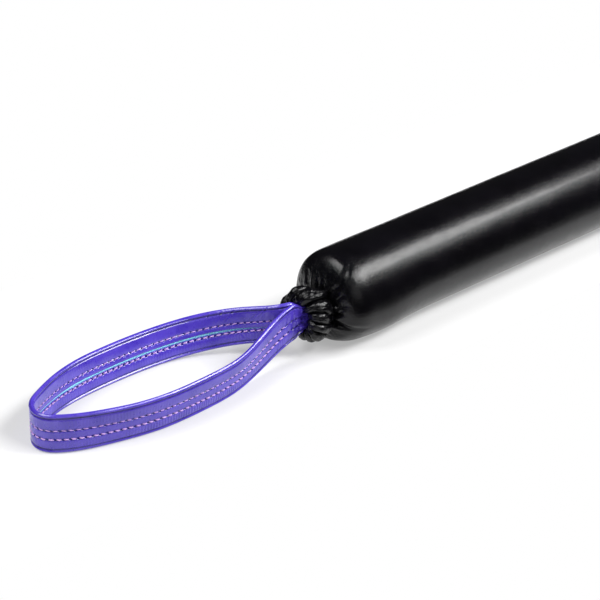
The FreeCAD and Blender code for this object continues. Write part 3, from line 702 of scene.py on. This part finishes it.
def make_tip_disc():
    edge = RADIUS - 2.4
    outline = spline([(TIP_X, 0.8), (TIP_X - 0.25, 6), (TIP_X - 1.0, 12), (TIP_X - 2.2, 18), (TIP_X - 3.3, 22),
                      (TIP_X - 4.3, 24.4), (TIP_X - 5.6, edge - 1.3), (TIP_X - 6.7, edge - 0.35),
                      (TIP_X - 7.4, edge - 0.9), (TIP_X - 8.0, edge - 2.0)], step=0.35)
    inside = np.array([(TIP_SEAM_X - 0.6, edge - 4.0), (TIP_SEAM_X + 1.6, 22.0),
                       (TIP_X - 2.4, 12.0), (TIP_X - 1.4, 0.8)])
    profile = np.concatenate([outline, inside])
    outer_count = len(outline)
    angles = ring_angles(384)
    radius = profile[:, 1]
    c, s = np.cos(angles)[None, :], np.sin(angles)[None, :]
    dimples = 0.16 * layered_noise(c * radius[:, None] / 9, s * radius[:, None] / 9, 5.0, 2)
    rim = np.exp(-((radius - edge + 1.0) / 1.6) ** 2)[:, None]
    puckers = 0.20 * rim * (np.abs(np.cos(TIP_STITCHES / 2 * angles))[None, :] - 0.5)
    spokes = 0.22 * layered_noise(c * 9, s * 9, radius[:, None] / 14, 2) * ramp(radius, 15, 25)[:, None]
    push = dimples + puckers + spokes * (1 - rim)
    push[outer_count:] = 0
    points = turned_points(profile, angles, -push)
    disc = grid_object("tip_disc_leather", points[::-1], BLACK, caps=("first", "last"))
    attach(disc, "stick")
    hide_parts("tip_disc")

    frames, ring = [], edge - 0.85
    for k in range(TIP_STITCHES):
        angle = TURN * (k + 0.5) / TIP_STITCHES
        out = np.array([0.75, math.cos(angle), math.sin(angle)])
        middle = np.array([TIP_X - 6.1, ring * math.cos(angle), ring * math.sin(angle)])
        frames.append((middle, np.array([0, -math.sin(angle), math.cos(angle)]), out))
    stitches = capsules("tip_seam_stitches", frames, length=2.5, radius=0.36, material=BLACK_THREAD, bow=0.25)
    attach(stitches, "stick")
    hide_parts("tip_seam_thread")


make_tip_disc()


# --- the strap ---------------------------------------------------------------------------------------

BAND_WIDTH = 25.0
BAND_HALF = BAND_WIDTH / 2
HALF_THICK = 1.4
PLY = 0.85
SLIT_TOP, SLIT_BOTTOM = -1.1, -2.4
SLIT_MIDDLE = (SLIT_TOP + SLIT_BOTTOM) / 2
RIM_HEIGHT, RIM_GROOVE_HEIGHT = 11.3, 10.0
ROWS = (2.2, -3.5)
ROW_SHIFTS = (0.0, 0.35)
RIB_PITCH = 2.0
ROLL_POWER = 1.4
STITCH_PITCH, STITCH_LENGTH = 4.3, 3.3
STITCH_SINK = 0.22
LEAN = math.radians(10)
CORE_HALF_WIDTH, CORE_BACK, CORE_FRONT = 11.0, -0.38, 0.42

# The band's lower edge, with its height over the floor: out of the mouth, round the loop and back in.
BAND_ROUTE = (
    (-180.0, -1.6, 12.5), (-188.0, -1.6, 12.5), (-194.5, -1.7, 12.2), (-201.4, -2.0, 10.8),
    (-215.0, -2.5, 6.0), (-232.0, -5.5, 2.0), (-255.0, -10.0, 0.0), (-282.0, -12.5, 0.0),
    (-312.0, -12.0, 0.0), (-342.0, -5.5, 0.0), (-362.0, 1.4, 0.0), (-371.5, 7.0, 0.0),
    (-377.3, 13.2, 0.0), (-378.6, 19.8, 0.0), (-376.0, 27.2, 0.0), (-370.6, 33.4, 0.0),
    (-362.0, 38.6, 0.0), (-345.0, 45.2, 0.0), (-305.0, 50.6, 0.0), (-265.0, 50.0, 0.0),
    (-243.0, 45.5, 1.0), (-224.0, 36.0, 3.5),
    (-212.0, 24.5, 6.5), (-203.2, 10.5, 10.0), (-199.4, 4.9, 11.6), (-194.5, 1.9, 12.3),
    (-188.0, 1.6, 12.5), (-180.0, 1.6, 12.5),
)
SPLIT_X = -194.6


def band_frames():
    """Stations along the band: foot, inward, upright and along vectors, and the distance travelled."""
    route = np.array([(x, y, FLOOR_Z + rise) for x, y, rise in BAND_ROUTE])
    foot = spline(route, step=0.42)
    along = np.gradient(foot, axis=0)
    along /= np.linalg.norm(along, axis=1)[:, None]
    inward = np.stack([along[:, 1], -along[:, 0], np.zeros(len(foot))], 1)
    inward /= np.linalg.norm(inward, axis=1)[:, None]
    travelled = arc_lengths(foot)
    from_mouth = np.minimum(travelled, travelled[-1] - travelled)
    far_end = travelled[-1] / 2
    lean = (LEAN * ramp(from_mouth, 20, 80) * ramp(from_mouth, far_end - 15, far_end - 75))[:, None]
    upright = np.array([0, 0, 1.0]) * np.cos(lean) - inward * np.sin(lean)
    across = np.cross(along, upright)
    across *= np.sign(np.einsum("ij,ij->i", across, inward))[:, None]
    across /= np.linalg.norm(across, axis=1)[:, None]
    return foot, across, upright, along, travelled


FOOT, ACROSS, UPRIGHT, ALONG, TRAVELLED = band_frames()
MIDDLE = FOOT + UPRIGHT * BAND_HALF
FROM_MOUTH = np.minimum(TRAVELLED, TRAVELLED[-1] - TRAVELLED)
IN_MOUTH = ramp(FOOT[:, 0], -195.5, -183.0)


def stitch_phase(shift):
    """0 at a stitch's middle and 1 at the hole between two, along the band."""
    place = (TRAVELLED / STITCH_PITCH + shift) % 1.0
    return np.abs(2 * place - 1)


def row_groove(height, row, holes):
    """The pressed valley of one stitch row, with a deeper hole between stitches."""
    across = np.abs(height[None, :] - row)
    valley = -0.34 * np.exp(-((across / 0.8) ** 2))
    hole = -1.1 * np.exp(-((across / 0.62) ** 4)) * (ramp(holes, 0.52, 0.80))[:, None]
    return valley + hole


def face_relief(height, side):
    """Relief of one face of the band, in millimetres outwards: rolled rims, rows, ribs and creases."""
    edge = np.abs(height)
    rim = (0.22 * np.exp(-(((edge - RIM_HEIGHT) / 0.8) ** 2))
           - 0.62 * np.exp(-(((edge - RIM_GROOVE_HEIGHT) / 0.6) ** 2)))
    relief = np.zeros((len(TRAVELLED), len(height))) + rim[None, :]
    for row, shift in zip(ROWS, ROW_SHIFTS):
        relief = relief + row_groove(height, row, stitch_phase(shift))
    swell = 0.16 * np.exp(-(((height - 6.2) / 2.6) ** 2)) + 0.14 * np.exp(-(((height + 6.8) / 2.0) ** 2))
    relief = relief + swell[None, :]
    wander = 2.2 * smooth_noise(TRAVELLED[:, None] / 9, height[None, :] / 12, side)
    ribs = np.sin(TURN * TRAVELLED[:, None] / RIB_PITCH + wander)
    patch = ramp(smooth_noise(TRAVELLED[:, None] / 21, height[None, :] / 14, side + 3), -0.7, 0.3)
    below = ramp(height, -4.3, -5.4) * ramp(height, -9.9, -8.6)
    above = ramp(height, 3.0, 4.6) * ramp(height, 9.8, 8.2)
    strength = 0.16 * below[None, :] + 0.13 * above[None, :] * ramp(FROM_MOUTH, 120, 165)[:, None]
    relief = relief + strength * ribs * patch * (1.0 if side > 0 else 0.35)
    soft = layered_noise(TRAVELLED[:, None] / 11, height[None, :] / 8, side * 5.0, 3)
    relief = relief + 0.12 * soft
    crumple = layered_noise(TRAVELLED[:, None] / 2.6, height[None, :] / 7.5, side * 9.0 + 2, 3)
    near_neck = ramp(FROM_MOUTH, 60, 12) * 0.26 + ramp(FROM_MOUTH, 22, 8) * 0.55
    return relief + near_neck[:, None] * crumple


def diagonal_creases(height):
    """A few sharp slanting creases high on the far leg's inner face, and pulls beside the mouth."""
    total = np.zeros((len(TRAVELLED), len(height)))
    end = TRAVELLED[-1]
    for before_end, top, slant, length, depth in (
            (52, 9.0, 0.9, 7.5, 0.30), (58, 10.0, 0.7, 6.5, 0.34), (66, 9.5, 0.55, 6.0, 0.22),
            (36, 7.0, 1.2, 8.0, 0.28), (30, 9.5, 0.8, 6.0, 0.30), (44, -6.0, -0.8, 5.0, 0.2)):
        centre = (end - before_end) + slant * (height[None, :] - top)
        across = np.abs(TRAVELLED[:, None] - centre)
        on = np.exp(-(((height[None, :] - top) / length * 1.6) ** 2))
        fold = -depth * on * np.exp(-((across / 0.6) ** 1.5))
        total += fold + 0.5 * depth * on * np.exp(-(((across - 1.3) / 0.6) ** 2))
    return total


def band_section():
    """Heights of the two faces' samples, and the rolled rims between them."""
    flat = BAND_HALF - HALF_THICK
    dense = [np.linspace(-flat, flat, 58)]
    for row in ROWS:
        dense.append(row + np.linspace(-0.9, 0.9, 9))
    heights = np.unique(np.round(np.concatenate(dense), 2))
    return heights[np.concatenate([[True], np.diff(heights) > 0.12])]


def band_points():
    """The folded leather: outer face, upper roll, inner flap to the slit, lining, flap and lower roll."""
    heights = band_section()
    outer = HALF_THICK + face_relief(heights, 1.0)
    inner = HALF_THICK + face_relief(heights, -1.0) + diagonal_creases(heights)
    slit_open = 0.95 + 0.30 * smooth_noise(TRAVELLED / 23, 2.0, 0) + 0.12 * smooth_noise(TRAVELLED / 6, 5.0, 0)
    slit_open = np.clip(slit_open * ramp(FROM_MOUTH, 20, 60), 0.08, 1.4)[:, None]
    half_slit = slit_open * (SLIT_TOP - SLIT_BOTTOM) / 2
    columns = []

    def add(offset, height, sunk=0.0):
        columns.append([np.broadcast_to(value, (len(TRAVELLED),)) for value in (offset, height, sunk)])

    for k, height in enumerate(heights):
        add(-outer[:, k], height, HALF_THICK - outer[:, k])
    turns = np.linspace(0, math.pi, 13)[1:-1]
    rolls = [(math.copysign(abs(math.cos(turn)) ** ROLL_POWER, math.cos(turn)), math.sin(turn) ** ROLL_POWER)
             for turn in turns]
    top_half = (outer[:, -1] + inner[:, -1]) / 2
    for over, up in rolls:
        add(-top_half * over, heights[-1] + HALF_THICK * up)
    above = [k for k in range(len(heights) - 1, -1, -1) if heights[k] > SLIT_TOP + 0.25]
    for k in above:
        add(inner[:, k], heights[k], HALF_THICK - inner[:, k])
    inner_floor = HALF_THICK - PLY
    for lift, drop in ((0.16, 0.02), (0.02, 0.28), (0.0, 0.62)):
        add(HALF_THICK - drop, SLIT_MIDDLE + half_slit[:, 0] + lift)
    add(inner_floor, SLIT_MIDDLE + half_slit[:, 0] + 0.2)
    lining = BAND_HALF - PLY - 0.3
    for offset, height in ((inner_floor, lining), (-inner_floor, lining),
                           (-inner_floor, -lining), (inner_floor, -lining)):
        add(offset, height)
    add(inner_floor, SLIT_MIDDLE - half_slit[:, 0] - 0.2)
    for lift, drop in ((0.0, 0.62), (0.02, 0.28), (0.16, 0.02)):
        add(HALF_THICK - drop, SLIT_MIDDLE - half_slit[:, 0] - lift)
    below = [k for k in range(len(heights) - 1, -1, -1) if heights[k] < SLIT_BOTTOM - 0.25]
    for k in below:
        add(inner[:, k], heights[k], HALF_THICK - inner[:, k])
    bottom_half = (outer[:, 0] + inner[:, 0]) / 2
    for over, up in rolls:
        add(bottom_half * over, heights[0] - HALF_THICK * up)
    offsets, ups, sunk = (np.stack([column[which] for column in columns], 1) for which in range(3))

    # the band narrows into pleats as it goes into the mouth
    ups = ups * (1 - 0.38 * IN_MOUTH[:, None]) - 0.2 * IN_MOUTH[:, None]
    pleat = 0.55 * np.sin(ups * 1.55 + 0.7 * np.sin(TRAVELLED / 2.4)[:, None]) * IN_MOUTH[:, None]
    offsets = offsets + pleat * np.sign(-FOOT[:, 1])[:, None] * 0.8
    points = (MIDDLE[:, None, :] + ACROSS[:, None, :] * offsets[..., None]
              + UPRIGHT[:, None, :] * ups[..., None])
    above_floor(points)
    # the second value masks the painted shade: 0 on the surface, up to 1 deep in a groove or stitch hole
    return points, ramp(sunk, 0.12, 0.75)


def make_strap():
    outside = np.where(FOOT[:, 0] <= SPLIT_X)[0]
    first, last = outside[0], outside[-1]
    # depth masks the painted shade that darkens the strap's grooves and stitch holes
    every, depth = band_points()
    uv_rows = TRAVELLED * MM
    section = arc_lengths(every[len(every) // 2])
    uv_columns = np.append(section, section[-1] + 0.5) * MM

    def piece(name, start, stop):
        rows = np.append(uv_rows[start:stop], uv_rows[min(stop, len(uv_rows) - 1)])
        return grid_object(name, every[start:stop], STRAP, caps=("first", "last"), uv=(rows, uv_columns),
                           depth=depth[start:stop])

    loop = piece("wrist_loop_leather", first, last + 1)
    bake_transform(loop)
    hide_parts("strap_loop")
    for name, start, stop in (("near_strap_end", 0, first + 1), ("far_strap_end", last, len(every))):
        end = piece(name, start, stop)
        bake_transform(end)
        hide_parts("strap_tails", "strap_neck")
    return first, last


FIRST, LAST = make_strap()


def make_loop_core():
    """The flat webbing inside the fold, which shows blue through the slit."""
    rows = slice(FIRST + 6, LAST - 6, 4)
    half = CORE_HALF_WIDTH
    corners = [(CORE_BACK, -half), (CORE_BACK, half), (0.0, half + 0.25), (CORE_FRONT, half)]
    for height in np.linspace(9, -9, 49):
        corners.append((CORE_FRONT + 0.52 * math.exp(-(((height - SLIT_MIDDLE) / 0.5) ** 2)), height))
    corners += [(CORE_FRONT, -half), (0.0, -half - 0.25)]
    offsets = np.array([a for a, _ in corners])[None, :, None]
    ups = np.array([b for _, b in corners])[None, :, None]
    points = MIDDLE[rows][:, None, :] + ACROSS[rows][:, None, :] * offsets + UPRIGHT[rows][:, None, :] * ups
    core = grid_object("loop_webbing", points, CORE_BLUE, caps=("first", "last"))
    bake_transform(core)
    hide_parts("strap_core")


make_loop_core()


def make_loop_stitches():
    """Both faces' stitches of the two rows, each lying between its holes."""
    plans = (("upper_row_stitches", "strap_thread_upper", 0.31, 0.04),
             ("lower_row_stitches", "strap_thread_lower", 0.47, 0.16))
    for (name, node, radius, proud), row, shift in zip(plans, ROWS, ROW_SHIFTS):
        frames = []
        first = math.ceil(TRAVELLED[FIRST] / STITCH_PITCH + shift)
        last = math.floor(TRAVELLED[LAST] / STITCH_PITCH + shift)
        for k in range(first + 1, last):
            i = int(np.searchsorted(TRAVELLED, (k + 0.5 - shift) * STITCH_PITCH))
            for side in (1, -1):
                out = ACROSS[i] * side
                lift = HALF_THICK - STITCH_SINK + proud
                middle = MIDDLE[i] + out * lift + UPRIGHT[i] * (row + rng.uniform(-0.08, 0.08))
                frames.append((middle, ALONG[i] + UPRIGHT[i] * rng.uniform(0.08, 0.2), out))
        stitches = capsules(name, frames, STITCH_LENGTH, radius, VIOLET_THREAD, bow=0.45)
        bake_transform(stitches)
        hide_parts(node)


make_loop_stitches()


# --- finishes of the CAD pieces that stay -------------------------------------------------------------

CARRIED = {
    "core_tube": PLASTIC, "handle_end_cap": PLASTIC, "tip_end_cap": PLASTIC,
    "inner_foam_tube": FOAM, "grip_foam_wrap": FOAM, "strike_foam_wrap": FOAM,
    "handle_foam_disc": FOAM, "tip_foam_pad": FOAM,
    "grip_seam_thread": BLACK_THREAD, "cover_join_thread": BLACK_THREAD, "tail_bar_tack": BLACK_THREAD,
    "strike_seam_thread": VIOLET_THREAD,
}
for node_name, finish in CARRIED.items():
    cad_mesh = frame["nodes"][node_name].data
    cad_mesh.materials.clear()
    cad_mesh.materials.append(finish)


# --- floor, lights and camera, in metres -------------------------------------------------------------------

PAPER_LEFT, PAPER_RIGHT, PAPER_FRONT, PAPER_BACK = -0.55, 0.60, -0.065, 0.20
PAPER_CORNER, CORNER_STEPS = 0.05, 12
STUDIO_DIM = 0.022
LENS_MM, SENSOR_MM = 144, 36
CAMERA_PLACE = (-1.1149, -0.9470, 0.6536)
CAMERA_TILT, CAMERA_HEADING = math.radians(64.0), math.radians(-44.43)
# name, azimuth, elevation, distance, width, height, watts and the point that it faces
LAMPS = (
    ("key_softbox", -36, 38.5, 1.7, 0.92, 0.42, 25, (-0.30, 0, 0)),
    ("wing_softbox", -68, 49, 1.7, 1.05, 0.30, 15, (-0.30, 0, 0)),
    ("overhead_softbox", 155, 55, 2.4, 1.3, 1.3, 42, (-0.1, 0, 0)),
    ("fill_softbox", 238, 24, 2.2, 2.2, 1.4, 8, (-0.1, 0, 0)),
)


def make_floor():
    """A sheet of paper under the object, with round corners; beyond it the studio is plain white."""
    left, right = PAPER_LEFT + PAPER_CORNER, PAPER_RIGHT - PAPER_CORNER
    front, back = PAPER_FRONT + PAPER_CORNER, PAPER_BACK - PAPER_CORNER
    outline = []
    for x, y, start in ((right, back, 0), (left, back, 90), (left, front, 180), (right, front, 270)):
        for step in range(CORNER_STEPS + 1):
            turn = math.radians(start + 90 * step / CORNER_STEPS)
            outline.append((x + PAPER_CORNER * math.cos(turn), y + PAPER_CORNER * math.sin(turn), FLOOR_Z * MM))
    mesh = bpy.data.meshes.new("floor")
    mesh.from_pydata(outline, [], [list(range(len(outline)))])
    floor = bpy.data.objects.new("floor", mesh)
    floor.data.materials.append(floor_paper())
    bpy.context.scene.collection.objects.link(floor)


def area_light(name, azimuth, elevation, distance, width, height, power, aim):
    """A soft box on the sphere round a point, facing it; azimuth is from +X towards +Y."""
    data = bpy.data.lights.new(name, "AREA")
    data.shape, data.size, data.size_y, data.energy = "RECTANGLE", width, height, power
    light = bpy.data.objects.new(name, data)
    turn, rise = math.radians(azimuth), math.radians(elevation)
    way = Vector((math.cos(turn) * math.cos(rise), math.sin(turn) * math.cos(rise), math.sin(rise)))
    light.location = Vector(aim) + way * distance
    light.rotation_euler = (-way).to_track_quat("-Z", "Y").to_euler()
    bpy.context.scene.collection.objects.link(light)


def make_world():
    """White behind the floor, and a dim studio for everything that the lights don't reach."""
    world = bpy.data.worlds.new("studio")
    world.use_nodes = True
    tree = world.node_tree
    dim = tree.nodes["Background"]
    dim.inputs["Strength"].default_value = STUDIO_DIM
    white = tree.nodes.new("ShaderNodeBackground")
    white.inputs["Strength"].default_value = 1.0
    for background in (dim, white):
        background.inputs["Color"].default_value = (1, 1, 1, 1)
    path, mix = tree.nodes.new("ShaderNodeLightPath"), tree.nodes.new("ShaderNodeMixShader")
    tree.links.new(path.outputs["Is Camera Ray"], mix.inputs["Fac"])
    tree.links.new(dim.outputs["Background"], mix.inputs[1])
    tree.links.new(white.outputs["Background"], mix.inputs[2])
    tree.links.new(mix.outputs["Shader"], tree.nodes["World Output"].inputs["Surface"])
    bpy.context.scene.world = world


def make_camera():
    """A long lens, low over the handle end, that cuts the stick off on the right."""
    data = bpy.data.cameras.new("camera")
    data.lens, data.sensor_width = LENS_MM, SENSOR_MM
    data.clip_end = 50
    camera = bpy.data.objects.new("camera", data)
    camera.location = CAMERA_PLACE
    camera.rotation_euler = (CAMERA_TILT, 0, CAMERA_HEADING)
    bpy.context.scene.collection.objects.link(camera)
    bpy.context.scene.camera = camera


make_floor()
for lamp in LAMPS:
    area_light(*lamp)
make_world()
make_camera()
bpy.context.scene.view_settings.view_transform = "Standard"
